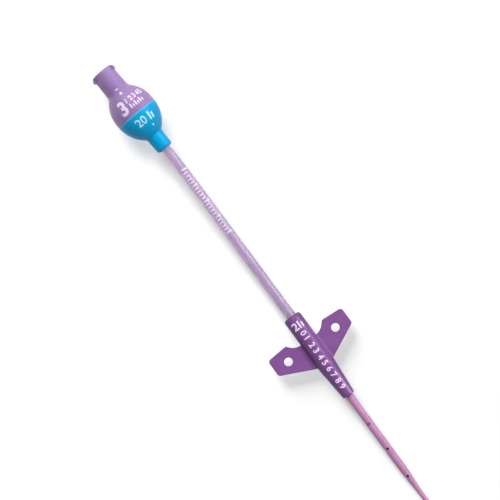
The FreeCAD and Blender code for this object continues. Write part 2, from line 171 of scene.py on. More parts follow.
def useGroup(tree, group, inputs):
    return put(tree, "ShaderNodeGroup", inputs, {"node_tree": group}).outputs


skinPattern = {
    "cloudDetail": 3.0,
    "grainDetail": 2.0,
    "deepBetween": (0.35, 0.7),  # the cloud's values from which, and up to which, the deep colour comes in
    "dullBetween": (0.3, 0.7),
}
streakPattern = {"detail": 2.0, "paleBetween": (0.35, 0.65)}
maskSamples = 6


def mouldedSkinGroup():
    # cloudy pigment, a fine satin grain and patches of duller skin; the scales are per mm
    tree, given, out = newGroup(
        "mouldedSkin",
        [("Colour", "Color", (0.5, 0.5, 0.5, 1)), ("Deep Colour", "Color", (0.4, 0.4, 0.4, 1)),
         ("Cloud Scale", "Float", 0.3), ("Grain Scale", "Float", 6.0),
         ("Gloss", "Float", 0.3), ("Dull", "Float", 0.45)],
        [("Colour", "Color"), ("Roughness", "Float"), ("Height", "Float")],
    )
    inMm = calcVector(tree, "SCALE", {0: objectPlace(tree), 3: 1 / mm})[0]
    cloud = noiseAt(tree, inMm, given["Cloud Scale"], skinPattern["cloudDetail"])
    grain = noiseAt(tree, inMm, given["Grain Scale"], skinPattern["grainDetail"])
    deep = stretch(tree, cloud, *skinPattern["deepBetween"])
    dull = stretch(tree, cloud, *skinPattern["dullBetween"], given["Gloss"], given["Dull"])
    tree.links.new(blend(tree, deep, given["Colour"], given["Deep Colour"]), out["Colour"])
    tree.links.new(dull, out["Roughness"])
    tree.links.new(grain, out["Height"])
    return tree


def edgeMaskGroup():
    # white where the surface turns within the given distance, so rims and corners take a painted highlight
    # on some pieces and painted shade on others
    tree, given, out = newGroup("edgeMask", [("Width", "Float", 0.0002), ("Gain", "Float", 6.0)],
                                [("Mask", "Float")])
    soft = put(tree, "ShaderNodeBevel", {"Radius": given["Width"]}, {"samples": maskSamples}).outputs[0]
    true = put(tree, "ShaderNodeNewGeometry").outputs["Normal"]
    alike = calcVector(tree, "DOT_PRODUCT", {0: soft, 1: true})["Value"]
    mask = calc(tree, "MULTIPLY", calc(tree, "SUBTRACT", 1.0, alike), given["Gain"], clamp=True)
    tree.links.new(mask, out["Mask"])
    return tree


def flankShadeMaskGroup():
    # white on flanks that stand upright, black where the surface lies level; it places painted shade on the
    # flanks
    tree, given, out = newGroup("flankShadeMask", [("Level", "Float", 0.8), ("Upright", "Float", 0.1)],
                                [("Mask", "Float")])
    normal = put(tree, "ShaderNodeNewGeometry").outputs["Normal"]
    level = calc(tree, "ABSOLUTE", axesOf(tree, normal)[2])
    tree.links.new(stretch(tree, level, given["Level"], given["Upright"]), out["Mask"])
    return tree


def creaseShadeMaskGroup():
    # white in hollow corners, where painted shade is laid
    tree, given, out = newGroup("creaseShadeMask", [("Reach", "Float", 0.001), ("Gain", "Float", 1.5)],
                                [("Mask", "Float")])
    settings = {"samples": maskSamples, "only_local": True}
    free = put(tree, "ShaderNodeAmbientOcclusion", {"Distance": given["Reach"]}, settings).outputs["AO"]
    mask = calc(tree, "MULTIPLY", calc(tree, "SUBTRACT", 1.0, free), given["Gain"], clamp=True)
    tree.links.new(mask, out["Mask"])
    return tree


def drawnStreaksGroup():
    # faint lines that an extrusion die leaves along a tube
    tree, given, out = newGroup("drawnStreaks", [("Round", "Float", 9.0), ("Along", "Float", 0.04)],
                                [("Mask", "Float"), ("Height", "Float")])
    turn, along = tubePlace(tree)
    angle = calc(tree, "MULTIPLY", turn, math.tau)
    across = calc(tree, "MULTIPLY", calc(tree, "SINE", angle), given["Round"])
    upDown = calc(tree, "MULTIPLY", calc(tree, "COSINE", angle), given["Round"])
    onward = calc(tree, "MULTIPLY", along, given["Along"])
    where = put(tree, "ShaderNodeCombineXYZ", {0: across, 1: upDown, 2: onward}).outputs[0]
    lines = noiseAt(tree, where, 1.0, streakPattern["detail"])
    tree.links.new(stretch(tree, lines, *streakPattern["paleBetween"]), out["Mask"])
    tree.links.new(lines, out["Height"])
    return tree


mouldedSkin = mouldedSkinGroup()
edgeMask = edgeMaskGroup()
flankShadeMask = flankShadeMaskGroup()
creaseShadeMask = creaseShadeMaskGroup()
drawnStreaks = drawnStreaksGroup()
print("shader groups built")


def newMaterial(name, shaderValues):
    material = bpy.data.materials.new(name)
    material.use_nodes = True
    shader = material.node_tree.nodes["Principled BSDF"]
    for key, value in shaderValues.items():
        shader.inputs[key].default_value = value
    return material, material.node_tree, shader


bumpStrength = 0.3


def skinOf(tree, look):
    # a look's cloud and grain are scales per mm, and its other lengths are in metres
    return useGroup(tree, mouldedSkin, {
        "Colour": look["colour"], "Deep Colour": look["deep"], "Cloud Scale": look["cloud"],
        "Grain Scale": look["grain"], "Gloss": look["gloss"], "Dull": look["dull"],
    })


def finishShader(tree, shader, colour, roughness, height, depth):
    bump = put(tree, "ShaderNodeBump", {"Height": height, "Distance": depth, "Strength": bumpStrength})
    tree.links.new(colour, shader.inputs["Base Color"])
    tree.links.new(roughness, shader.inputs["Roughness"])
    tree.links.new(bump.outputs[0], shader.inputs["Normal"])


# Cords: the extension tube and the catheter, along the routes of the part's source, in mm

extensionTube = {
    "route": [(-36.352, -0.909, 6.13), (-24.901, -0.168, 5.368), (-8.728, -0.112, 4.345),
              (7.446, -0.056, 3.473), (23.62, 0, 2.75), (39.62, 0, 2.75)],
    "exit": (-29.88, -0.49, 5.7),
    "length": 0.0761,  # metres
    "outer": 2.9,
    "bore": 1.4,
    "boreDepth": math.inf,  # open from end to end
    "sides": 40,
    "steps": 12,  # points of the line between two of the route
    "look": {
        "colour": tint(227, 207, 236), "deep": tint(223, 202, 233), "cloud": 0.12, "grain": 3.0,
        "gloss": 0.32, "dull": 0.42, "bump": 0.00005,
        "streak": tint(230, 212, 239), "streakShare": 0.25, "streakRound": 4.0, "streakAlong": 0.03,
        # flank: painted shade on the tube's upright sides
        "paintedShade": tint(170, 150, 180), "flankShadeShare": 0.6, "level": 0.9, "upright": 0.15,
        "shader": {"Transmission Weight": 0.75, "Subsurface Weight": 0.5, "Subsurface Scale": 0.001,
                   "Subsurface Radius": (1, 1, 1), "Specular IOR Level": 0.2},
    },
}

catheter = {
    "route": [(51.32, 0, 2.75), (65.32, 0, 2.75), (79.3, 0, 1.36), (97.2, 0, 0.7), (106.2, 0, 0.7)],
    "exit": (58.82, 0, 2.75),
    "rootOuter": 2.2,
    "outer": 1.33,
    "taperFrom": 34.2,  # mm along the tube
    "taperTo": 41.8,
    "bore": 0.8,
    "boreDepth": 4,  # at the far end
    "sides": 20,
    "steps": 6,
    "coil": {
        "centre": (106.2, -9.33),
        "outerLine": 9.33,  # radius of the outermost turn's centreline
        "innerLine": 6.67,
        "floorLine": 0.7,
        "layers": 4,
        "turnsInLayer": 2.5,
        "climbTurns": 0.5,  # the last of a layer's turns, which climbs to the next
        "pointsInTurn": 16,
    },
    "look": {
        "colour": tint(203, 142, 188), "deep": tint(193, 128, 178), "cloud": 0.15, "grain": 4.0,
        "gloss": 0.34, "dull": 0.46, "bump": 0.00004,
        "streak": tint(207, 156, 196), "streakShare": 0.3, "streakRound": 4.0, "streakAlong": 0.03,
        # flank: painted shade on the tube's upright sides
        "paintedShade": tint(122, 108, 124), "flankShadeShare": 0.7, "level": 0.87, "upright": 0.3,
        "shader": {"Subsurface Weight": 0.6, "Subsurface Scale": 0.0012, "Subsurface Radius": (1, 0.7, 0.9),
                   "Specular IOR Level": 0.3},
    },
    "marks": {
        "ink": tint(58, 22, 58),
        "first": 26.6,  # mm along the tube
        "apart": 10,
        "side": 0.53,  # where round the tube, in turns
        "dotAlong": 0.42,  # half a dot, in mm
        "dotRound": 0.062,  # half a dot, in turns
        "dotEdge": (1.15, 0.85),  # how softly a dot ends, in shares of its size
        "bandEvery": 50,
        "bandHalf": 0.22,  # half a band, in mm
        "bandRound": 0.2,  # half a band, in turns
    },
}


def coilPoints(spec, thickness):
    # clockwise seen from above, in and out by layers, as control points of the cord's own spline
    points = []
    count = round(spec["layers"] * spec["turnsInLayer"] * spec["pointsInTurn"])
    outside = 1 / math.cos(math.pi / spec["pointsInTurn"])  # a control point stands this much further out
    flatTurns = spec["turnsInLayer"] - spec["climbTurns"]
    topLayer = spec["layers"] - 1
    for k in range(count):
        turn = (k + 0.5) / spec["pointsInTurn"]  # the first is half a step past the route's end
        layer = min(int(turn // spec["turnsInLayer"]), topLayer)
        inLayer = turn - layer * spec["turnsInLayer"]
        inward = min(inLayer / flatTurns, 1)
        if layer % 2:
            inward = 1 - inward
        radius = spec["outerLine"] + (spec["innerLine"] - spec["outerLine"]) * inward
        climb = 0 if layer == topLayer else max(inLayer - flatTurns, 0) / spec["climbTurns"]
        eased = climb * climb * (3 - 2 * climb)
        level = spec["floorLine"] + thickness * (layer + eased)
        angle = turn * math.tau
        points.append((
            spec["centre"][0] + radius * outside * math.sin(angle),
            spec["centre"][1] + radius * outside * math.cos(angle),
            level,
        ))
    return points


def splineLine(points, steps):
    # the points that a smooth spline through this route follows, in mm
    data = bpy.data.curves.new("route", "CURVE")
    data.dimensions = "3D"
    data.resolution_u = steps
    spline = data.splines.new("NURBS")
    spline.points.add(len(points) - 1)
    for point, spot in zip(spline.points, points):
        point.co = (*metres(spot), 1)
    spline.order_u = 3
    spline.use_endpoint_u = True
    holder = bpy.data.objects.new("route", data)
    line = bpy.data.meshes.new_from_object(holder)
    found = [v.co / mm for v in line.vertices]
    bpy.data.objects.remove(holder)
    bpy.data.curves.remove(data)
    bpy.data.meshes.remove(line)
    return found


def stationsAlong(line):
    # at each point of the line: its place, the directions up and sideways, and the mm along the line
    stations = []
    above = Vector((0, 0, 1))
    along = 0.0
    for i, spot in enumerate(line):
        before, after = line[max(i - 1, 0)], line[min(i + 1, len(line) - 1)]
        heading = (after - before).normalized()
        above = (above - heading * above.dot(heading)).normalized()
        along += (spot - before).length
        stations.append({"spot": spot, "up": above.copy(), "side": heading.cross(above), "along": along})
    return stations


sharpFrom = 40  # degrees between two faces of a tube


def tubeMesh(name, line, radiusAt, spec):
    # a hollow tube along the line, with a map of the turn round it and the mm along it
    stations = stationsAlong(line)
    total = stations[-1]["along"]
    openThrough = spec["boreDepth"] >= total / 2
    inner = [s for s in stations if openThrough or s["along"] > total - spec["boreDepth"]]
    profile = [(s, radiusAt(s["along"])) for s in stations]
    profile += [(s, spec["bore"] / 2) for s in reversed(inner)]
    sides = spec["sides"]
    shape = bmesh.new()
    mapLayer = shape.loops.layers.uv.new("tubeMap")
    rings = []
    for station, radius in profile:
        ring = []
        for k in range(sides):
            angle = math.tau * k / sides - math.pi  # the map's seam lies underneath
            outward = station["up"] * math.cos(angle) + station["side"] * math.sin(angle)
            ring.append(shape.verts.new((station["spot"] + outward * radius) * mm))
        rings.append(ring)
    pairs = list(zip(range(len(rings)), range(1, len(rings))))
    if openThrough:
        pairs.append((len(rings) - 1, 0))
    for a, b in pairs:
        here, there = profile[a][0]["along"], profile[b][0]["along"]
        for k in range(sides):
            after = (k + 1) % sides
            face = shape.faces.new((rings[a][k], rings[a][after], rings[b][after], rings[b][k]))
            face.smooth = True
            turn, nextTurn = k / sides, (k + 1) / sides
            spots = ((turn, here), (nextTurn, here), (nextTurn, there), (turn, there))
            for loop, spot in zip(face.loops, spots):
                loop[mapLayer].uv = spot
    if not openThrough:
        shape.faces.new(list(reversed(rings[0])))
        shape.faces.new(rings[-1])
    bmesh.ops.recalc_face_normals(shape, faces=shape.faces)
    mesh = bpy.data.meshes.new(name)
    shape.to_mesh(mesh)
    shape.free()
    mesh.set_sharp_from_angle(angle=math.radians(sharpFrom))
    return mesh, total


def tubingMaterial(name, look, inkOver=None):
    # cloudy pigment, faint streaks along the tube, painted shade on the flanks, and any ink on top
    material, tree, shader = newMaterial(name, look["shader"])
    skin = skinOf(tree, look)
    lines = useGroup(tree, drawnStreaks, {"Round": look["streakRound"], "Along": look["streakAlong"]})
    colour = blendShare(tree, lines["Mask"], look["streakShare"], skin["Colour"], look["streak"])
    paintedShade = useGroup(tree, flankShadeMask, {"Level": look["level"], "Upright": look["upright"]})["Mask"]
    colour = blendShare(tree, paintedShade, look["flankShadeShare"], colour, look["paintedShade"])
    if inkOver:
        colour = inkOver(tree, colour)
    finishShader(tree, shader, colour, skin["Roughness"], lines["Height"], look["bump"])
    return material


def markDepths(tree, colour):
    # a dark dot every centimetre, and a band over every fifth, on the catheter's upper side
    marks = catheter["marks"]
    turn, along = tubePlace(tree)
    offSide = awayFrom(tree, turn, marks["side"])
    onward = calc(tree, "SUBTRACT", along, marks["first"])

    def nearMark(apart):
        return calc(tree, "ABSOLUTE", calc(tree, "WRAP", onward, -apart / 2, apart / 2))

    alongShare = calc(tree, "DIVIDE", nearMark(marks["apart"]), marks["dotAlong"])
    roundShare = calc(tree, "DIVIDE", offSide, marks["dotRound"])
    reach = calc(tree, "ADD", calc(tree, "MULTIPLY", alongShare, alongShare),
                 calc(tree, "MULTIPLY", roundShare, roundShare))
    dots = stretch(tree, reach, *marks["dotEdge"])
    bandLong = calc(tree, "LESS_THAN", nearMark(marks["bandEvery"]), marks["bandHalf"])
    bandWide = calc(tree, "LESS_THAN", offSide, marks["bandRound"])
    pastFirst = calc(tree, "GREATER_THAN", along, marks["first"] + marks["apart"])
    bands = calc(tree, "MULTIPLY", calc(tree, "MULTIPLY", bandLong, bandWide), pastFirst)
    started = calc(tree, "GREATER_THAN", along, marks["first"] - marks["apart"] / 2)
    inked = calc(tree, "MULTIPLY", calc(tree, "MAXIMUM", dots, bands), started)
    return blend(tree, inked, colour, marks["ink"])


def makeExtensionTube(spec):
    line = splineLine(spec["route"], spec["steps"])
    mesh, total = tubeMesh("extensionTube", line, lambda along: spec["outer"] / 2, spec)
    material = tubingMaterial("clearLavenderTube", spec["look"])
    piece = newPiece("extensionTube", mesh, material)
    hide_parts("extension_tube")
    metres(spec["exit"])
    print("extension tube: %.1f mm" % total)
    return piece


def makeCatheter(spec):
    line = splineLine(spec["route"] + coilPoints(spec["coil"], spec["outer"]), spec["steps"])

    def radiusAt(along):
        share = min(max((along - spec["taperFrom"]) / (spec["taperTo"] - spec["taperFrom"]), 0), 1)
        return (spec["rootOuter"] + (spec["outer"] - spec["rootOuter"]) * share) / 2

    mesh, total = tubeMesh("catheter", line, radiusAt, spec)
    material = tubingMaterial("pinkCatheter", spec["look"], markDepths)
    piece = newPiece("catheter", mesh, material)
    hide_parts("catheter_tube", "catheter_coil")
    metres(spec["exit"])
    print("catheter: %.1f mm" % total)
    return piece


extensionPiece = makeExtensionTube(extensionTube)
catheterPiece = makeCatheter(catheter)


# Moulded pieces: the CAD meshes with materials of their own

luerMouth = Vector(mounts["luer_socket"]["pos_m"]) / mm
hubAxis = -Vector(mounts["luer_socket"]["axis"]).normalized()
hubSide = Vector((-hubAxis.y, hubAxis.x, 0)).normalized()
hubTop = hubAxis.cross(hubSide)

# the gain also sets how fast hollow corners fill with painted shade
hollows = {"dull": 0.8, "gain": 1.5}  # the roughness in hollow corners, and how fast they fill with it


def mouldedMaterial(name, look, tintMore=None, plainWhere=None):
    # the skin's colour, any tint of this piece alone, painted shade on the flanks and in hollows, and rims
    # with a painted highlight on some pieces and painted shade on others
    material, tree, shader = newMaterial(name, look["shader"])
    skin = skinOf(tree, look)
    colour = skin["Colour"]
    if tintMore:
        colour = tintMore(tree, colour, look)
    paintedShade = useGroup(tree, flankShadeMask, {"Level": look["level"], "Upright": look["upright"]})["Mask"]
    crease = useGroup(tree, creaseShadeMask, {"Reach": look["creaseReach"], "Gain": hollows["gain"]})["Mask"]
    edge = useGroup(tree, edgeMask, {"Width": look["edgeWidth"], "Gain": look["edgeGain"]})["Mask"]
    colour = blendShare(tree, paintedShade, look["flankShadeShare"], colour, look["paintedShade"])
    colour = blendShare(tree, crease, look["creaseShadeShare"], colour, look["paintedShade"])
    colour = blendShare(tree, edge, look["edgeShare"], colour, look["edge"])
    # where plainWhere is white, as on the junction's lit wing root, the skin's colour comes back without
    # the painted shade, rim colour and piece tint
    if plainWhere:
        colour = blend(tree, plainWhere(tree, look), colour, skin["Colour"])
    dull = put(tree, "ShaderNodeMix", {0: crease, 2: skin["Roughness"], 3: hollows["dull"]}).outputs[0]
    finishShader(tree, shader, colour, dull, skin["Height"], look["bump"])
    return material


def dress(nodeName, material):
    mesh = nodes[nodeName].data
    mesh.materials.clear()
    mesh.materials.append(material)


luerLook = {
    "colour": tint(158, 129, 180), "deep": tint(149, 117, 173), "cloud": 0.2, "grain": 5.0,
    "gloss": 0.34, "dull": 0.44, "bump": 0.00003,
    # flank and crease: painted shade on upright sides and in hollow corners
    "paintedShade": tint(116, 88, 136), "flankShadeShare": 0.4, "level": 0.95, "upright": 0.1,
    "creaseReach": 0.0025, "creaseShadeShare": 0.4,
    # edge: a painted highlight on the rims
    "edge": tint(176, 152, 190), "edgeShare": 0.3, "edgeWidth": 0.00025, "edgeGain": 5.0,
    "shader": {"Subsurface Weight": 0.35, "Subsurface Scale": 0.002, "Subsurface Radius": (0.6, 0.5, 0.9),
               "Specular IOR Level": 0.3},
}

blueLook = {
    "colour": tint(0, 170, 224), "deep": tint(0, 159, 215), "cloud": 0.2, "grain": 5.0,
    "gloss": 0.3, "dull": 0.4, "bump": 0.00003,
    # flank and crease: painted shade on upright sides and in hollow corners
    "paintedShade": tint(0, 96, 150), "flankShadeShare": 0.6, "level": 0.85, "upright": 0.1,
    "creaseReach": 0.0008, "creaseShadeShare": 0.5,
    # edge: a painted highlight on the rims
    "edge": tint(60, 200, 242), "edgeShare": 0.3, "edgeWidth": 0.00025, "edgeGain": 5.0,
    "shader": {"Subsurface Weight": 0.08, "Subsurface Scale": 0.001, "Specular IOR Level": 0.12},
    # the rim with its painted highlight, in mm from the luer mouth
    "seam": {"place": 15.65, "width": 0.5, "colour": tint(120, 214, 246), "share": 0.9},
}

discLook = {
    "colour": tint(232, 230, 226), "deep": tint(218, 216, 212), "cloud": 0.3, "grain": 6.0,
    "gloss": 0.4, "dull": 0.55, "bump": 0.00002,
    # flank and crease: painted shade on upright sides and in hollow corners
    "paintedShade": tint(210, 208, 204), "flankShadeShare": 0.3, "level": 0.5, "upright": 0.05,
    "creaseReach": 0.0005, "creaseShadeShare": 0.3,
    # edge: a painted highlight on the rims
    "edge": tint(240, 240, 238), "edgeShare": 0.3, "edgeWidth": 0.0001, "edgeGain": 4.0,
    "shader": {"Subsurface Weight": 0.4, "Subsurface Scale": 0.001},
}

junctionLook = {
    "colour": tint(137, 87, 154), "deep": tint(128, 78, 146), "cloud": 0.25, "grain": 4.0,
    "gloss": 0.28, "dull": 0.4, "bump": 0.00006,
    # flank and crease: painted shade on upright sides and in hollow corners
    "paintedShade": tint(56, 24, 64), "flankShadeShare": 0.8, "level": 1.0, "upright": 0.2,
    "creaseReach": 0.0015, "creaseShadeShare": 1.0,
    # edge: painted shade on the rims and round the suture holes
    "edge": tint(92, 52, 106), "edgeShare": 0.7, "edgeWidth": 0.0004, "edgeGain": 5.0,
    "shader": {"Subsurface Weight": 0.06, "Subsurface Scale": 0.0006, "Specular IOR Level": 0.25},
    # three places of the junction, in mm along and beside its axis: the thick barrel, the taper's painted
    # highlight, and the lit wing root that keeps no painted shade
    "barrel": {"full": 2.5, "none": 3.3, "colour": tint(127, 77, 147), "share": 0.75},
    "taperHighlight": {"from": 50, "to": 53, "beside": 1.0, "half": 0.6, "colour": tint(214, 170, 220),
                "share": 0.6},
    "litWingRoot": {"middle": (41, 3.0), "full": (4.6, 0.7), "none": (6.6, 1.3), "share": 0.85},
}


def paintedSeamHighlight(tree, colour, look):
    # a painted highlight along the blue shell's rim, where it meets the purple one
    seam = look["seam"]
    along = calcVector(tree, "DOT_PRODUCT", {0: objectPlace(tree), 1: tuple(hubAxis)})["Value"]
    start = (luerMouth.dot(hubAxis) + seam["place"]) * mm
    mask = stretch(tree, along, start + seam["width"] * mm, start, 0, seam["share"])
    return blend(tree, mask, colour, seam["colour"])


def deepBarrelAndTaperHighlight(tree, colour, look):
    # the barrel is thicker than the wings, so its colour is deeper, and a painted highlight runs along its
    # thin end
    barrel, taperHighlight = look["barrel"], look["taperHighlight"]
    place = axesOf(tree, objectPlace(tree))
    across = calc(tree, "ABSOLUTE", place[1])
    thick = stretch(tree, across, barrel["none"] * mm, barrel["full"] * mm, 0, barrel["share"])
    colour = blend(tree, thick, colour, barrel["colour"])
    # the painted highlight: a thin pale line beside the axis on the taper
    beside = awayFrom(tree, place[1], taperHighlight["beside"] * mm)
    streak = calc(tree, "MULTIPLY", stretch(tree, beside, taperHighlight["half"] * mm, 0),
                  stretch(tree, place[0], taperHighlight["from"] * mm, taperHighlight["to"] * mm, 0, taperHighlight["share"]))
    return blend(tree, streak, colour, taperHighlight["colour"])


def litWingRootMask(tree, look):
    # the barrel's lit side where it runs into one wing, which is left without painted shade
    root = look["litWingRoot"]
    place = axesOf(tree, objectPlace(tree))
    masks = [stretch(tree, awayFrom(tree, place[axis], root["middle"][axis] * mm),
                     root["none"][axis] * mm, root["full"][axis] * mm) for axis in (0, 1)]
    return calc(tree, "MULTIPLY", calc(tree, "MULTIPLY", *masks), root["share"])


dress("luer_housing", mouldedMaterial("purpleShell", luerLook))
dress("lower_housing", mouldedMaterial("blueShell", blueLook, paintedSeamHighlight))
dress("valve_disc", mouldedMaterial("milkySilicone", discLook))
dress("winged_junction", mouldedMaterial("deepPurpleWings", junctionLook, deepBarrelAndTaperHighlight, litWingRootMask))
print("moulded pieces dressed")


# Prints: plain numerals, bars and ticks as thin ink laid on the surfaces, and two painted glints laid the
# same way, in mm

ink = {
    "curveSteps": 3,  # points between two of a numeral's outline
    "flatAngle": 0.001,  # radians; a numeral's own inner edges go before it is cut
    "cell": 0.28,  # the size of the cells that let the ink follow a curve
    "lift": 0.022,  # the ink's top above the surface
    "thickness": 0.035,
    "roundFrom": 30,  # how far from the hub's axis its print is dropped
    "above": 40,  # how far up the other prints are dropped from
    "cloud": 2.5,
    "grain": 12.0,
    "gloss": 0.4,
    "dull": 0.6,
    "bump": 0.00001,  # metres
    "shader": {"Specular IOR Level": 0.4},
}


def inkMaterial(name, colour, deep):
    material, tree, shader = newMaterial(name, ink["shader"])
    skin = skinOf(tree, {**ink, "colour": colour, "deep": deep})
    finishShader(tree, shader, skin["Colour"], skin["Roughness"], skin["Height"], ink["bump"])
    return material


pinkInk = inkMaterial("palePinkInk", tint(244, 224, 253), tint(234, 212, 247))
cyanInk = inkMaterial("paleCyanInk", tint(190, 240, 255), tint(165, 228, 250))
darkInk = inkMaterial("darkMarkInk", tint(60, 24, 60), tint(80, 36, 78))


def surfaceOf(piece):
    mesh = piece.data
    return BVHTree.FromPolygons([v.co / mm for v in mesh.vertices], [p.vertices[:] for p in mesh.polygons])


def numeral(text, height, left, bottom, bold):
    # flat mesh of plain numerals with its lower left corner at the given place
    data = bpy.data.curves.new("numeral", "FONT")
    data.body = text
    data.offset = bold
    data.resolution_u = ink["curveSteps"]
    holder = bpy.data.objects.new("numeral", data)
    mesh = bpy.data.meshes.new_from_object(holder)
    spots = [v.co.copy() for v in mesh.vertices]
    faces = [list(p.vertices) for p in mesh.polygons]
    bpy.data.objects.remove(holder)
    bpy.data.curves.remove(data)
    bpy.data.meshes.remove(mesh)
    low = min(s.y for s in spots)
    size = height / (max(s.y for s in spots) - low)
    start = min(s.x for s in spots)
    return [((s.x - start) * size + left, (s.y - low) * size + bottom) for s in spots], faces


def bar(width, height, left, bottom):
    right, top = left + width, bottom + height
    return [(left, bottom), (right, bottom), (right, top), (left, top)], [[0, 1, 2, 3]]


def disc(radius, corners):
    angles = [math.tau * k / corners for k in range(corners)]
    return [(radius * math.cos(a), radius * math.sin(a)) for a in angles], [list(range(corners))]


def layInk(name, shapes, placeAt, material):
    # cuts the flat shapes into cells and drops each corner onto the surface
    flat = bmesh.new()
    for spots, faces in shapes:
        corners = [flat.verts.new((x, y, 0)) for x, y in spots]
        for face in faces:
            flat.faces.new([corners[i] for i in face])
    bmesh.ops.dissolve_limit(flat, angle_limit=ink["flatAngle"], verts=flat.verts, edges=flat.edges)
    for axis, across in enumerate((Vector((1, 0, 0)), Vector((0, 1, 0)))):
        values = [v.co[axis] for v in flat.verts]
        first = math.floor(min(values) / ink["cell"])
        last = math.ceil(max(values) / ink["cell"])
        for k in range(first + 1, last):
            cut = across * (k * ink["cell"])
            everything = flat.verts[:] + flat.edges[:] + flat.faces[:]
            bmesh.ops.bisect_plane(flat, geom=everything, plane_co=cut, plane_no=across)
    bmesh.ops.triangulate(flat, faces=flat.faces)
    for vertex in flat.verts:
        hit, normal = placeAt(vertex.co.x, vertex.co.y)
        vertex.co = (hit + normal * ink["lift"]) * mm
    bmesh.ops.recalc_face_normals(flat, faces=flat.faces)
    mesh = bpy.data.meshes.new(name)
    flat.to_mesh(mesh)
    flat.free()
    for polygon in mesh.polygons:
        polygon.use_smooth = True
    solid = newPiece(name, mesh, material).modifiers.new("thickness", "SOLIDIFY")
    solid.thickness = ink["thickness"] * mm
    solid.offset = -1  # downwards from the top


def numeralWithBars(spec):
    bars = [bar(spec["barWidth"], tall, left, 0) for left, tall in spec["bars"]]
    return [numeral(spec["numeral"], spec["height"], 0, 0, spec["bold"])] + bars


hubSurfaces = [surfaceOf(nodes["luer_housing"]), surfaceOf(nodes["lower_housing"])]


def onHub(depth, angle, radius):
    # the print's x runs round the hub and its y towards the luer mouth, from a spot given by its depth from
    # the mouth and its angle from the top, in degrees, at about this radius
    def place(x, y):
        turn = math.radians(angle) + x / radius
        outward = hubTop * math.cos(turn) + hubSide * math.sin(turn)
        start = luerMouth + hubAxis * (depth - y) + outward * ink["roundFrom"]
        hits = [surface.ray_cast(start, -outward) for surface in hubSurfaces]
        nearest = min((h for h in hits if h[0] is not None), key=lambda h: h[3])
        return nearest[:2]
    return place


def fromAbove(surface, left, bottom):
    # the print's x runs along +X and its y along +Y, dropped straight down
    def place(x, y):
        return surface.ray_cast(Vector((left + x, bottom + y, ink["above"])), Vector((0, 0, -1)))[:2]
    return place


bulbPrint = {
    "at": (14.65, -31, 6.4),  # depth, angle and radius, as for every print on the hub
    "numeral": "3",
    "height": 4.4,
    "bold": 0.035,
    "scale": "12345",
    "scaleHeight": 1.6,
    "scaleStart": (3.2, 2.6),
    "scaleApart": 1.42,
    "scaleBold": 0.03,
    "bars": 6,
    "barSize": (0.46, 1.5),
    "barStart": (3.4, 0.65),
    "barApart": 0.82,
    "shortBar": 0.62,  # every other bar's share of the height
}


def makeBulbPrint(spec):
    shapes = [numeral(spec["numeral"], spec["height"], 0, 0, spec["bold"])]
    left, bottom = spec["scaleStart"]
    for k, digit in enumerate(spec["scale"]):
        start = left + k * spec["scaleApart"]
        shapes.append(numeral(digit, spec["scaleHeight"], start, bottom, spec["scaleBold"]))
    wide, tall = spec["barSize"]
    left, bottom = spec["barStart"]
    for k in range(spec["bars"]):
        share = spec["shortBar"] if k % 2 else 1
        shapes.append(bar(wide, tall * share, left + k * spec["barApart"], bottom))
    layInk("bulbNumeral", shapes, onHub(*spec["at"]), pinkInk)


# two painted glints on the luer's flare, a dash and a dot of pale ink
luerGlints = {"dash": (1.0, 0.34), "dashAt": (6.9, -1.0, 3.6), "dot": 0.46, "dotCorners": 14,
             "dotAt": (8.55, 3.6, 4.6)}


def makeLuerGlints(spec):
    # the painted glints are laid as pale ink
    wide, tall = spec["dash"]
    layInk("luerDashGlint", [bar(wide, tall, -wide / 2, -tall / 2)], onHub(*spec["dashAt"]), pinkInk)
    layInk("luerDotGlint", [disc(spec["dot"], spec["dotCorners"])], onHub(*spec["dotAt"]), pinkInk)


bluePrint = {
    "at": (19.7, -20, 6.0),
    "numeral": "20",
    "height": 2.5,
    "bold": 0.018,
    "bars": [(4.3, 2.5), (5.35, 1.8)],  # each bar's left side and height
    "barWidth": 0.62,
    "arrowAt": (21.15, 20.4, 4.6),
    "arrow": [(-0.38, 0.35), (0, -0.45), (0.38, 0.35)],
}


def makeBluePrint(spec):
    layInk("blueNumeral", numeralWithBars(spec), onHub(*spec["at"]), cyanInk)
    layInk("flowArrow", [(spec["arrow"], [[0, 1, 2]])], onHub(*spec["arrowAt"]), cyanInk)


tubePrint = {"at": (-22.0, -0.35), "ticks": 21, "apart": 1.1, "width": 0.5, "foot": -0.62, "tall": 1.95,
             "short": 1.35, "tallEvery": 5}


def makeTubePrint(spec, tube):
    shapes = []
    for k in range(spec["ticks"]):
        tall = spec["short"] if k % spec["tallEvery"] else spec["tall"]
        shapes.append(bar(spec["width"], tall, k * spec["apart"], spec["foot"]))
    layInk("tubeScale", shapes, fromAbove(surfaceOf(tube), *spec["at"]), pinkInk)


junctionPrint = {
    "numeralAt": (34.9, -1.75),
    "numeral": "2",
    "height": 2.5,
    "bold": 0.035,
    "bars": [(1.95, 2.5), (2.85, 1.7)],
    "barWidth": 0.5,
    "scaleAt": (35.75, -0.95),
    "scale": "0123456789",
    "scaleHeight": 1.9,
    "scaleApart": 2.12,
    "scaleBold": 0.03,
}


def turned(shape):
    # a quarter turn, so that the print reads across the barrel with its top towards the extension tube
    spots, faces = shape
    return [(-y, x) for x, y in spots], faces


def makeJunctionPrint(spec):
    surface = surfaceOf(nodes["winged_junction"])
    across = [turned(shape) for shape in numeralWithBars(spec)]
    layInk("junctionNumeral", across, fromAbove(surface, *spec["numeralAt"]), pinkInk)
    scale = [numeral(digit, spec["scaleHeight"], k * spec["scaleApart"], 0, spec["scaleBold"])
             for k, digit in enumerate(spec["scale"])]
    layInk("junctionScale", scale, fromAbove(surface, *spec["scaleAt"]), pinkInk)


depthZero = {"at": (68.9, -0.4), "numeral": "0", "height": 1.1, "corner": (-0.4, -0.55), "bold": 0.015}


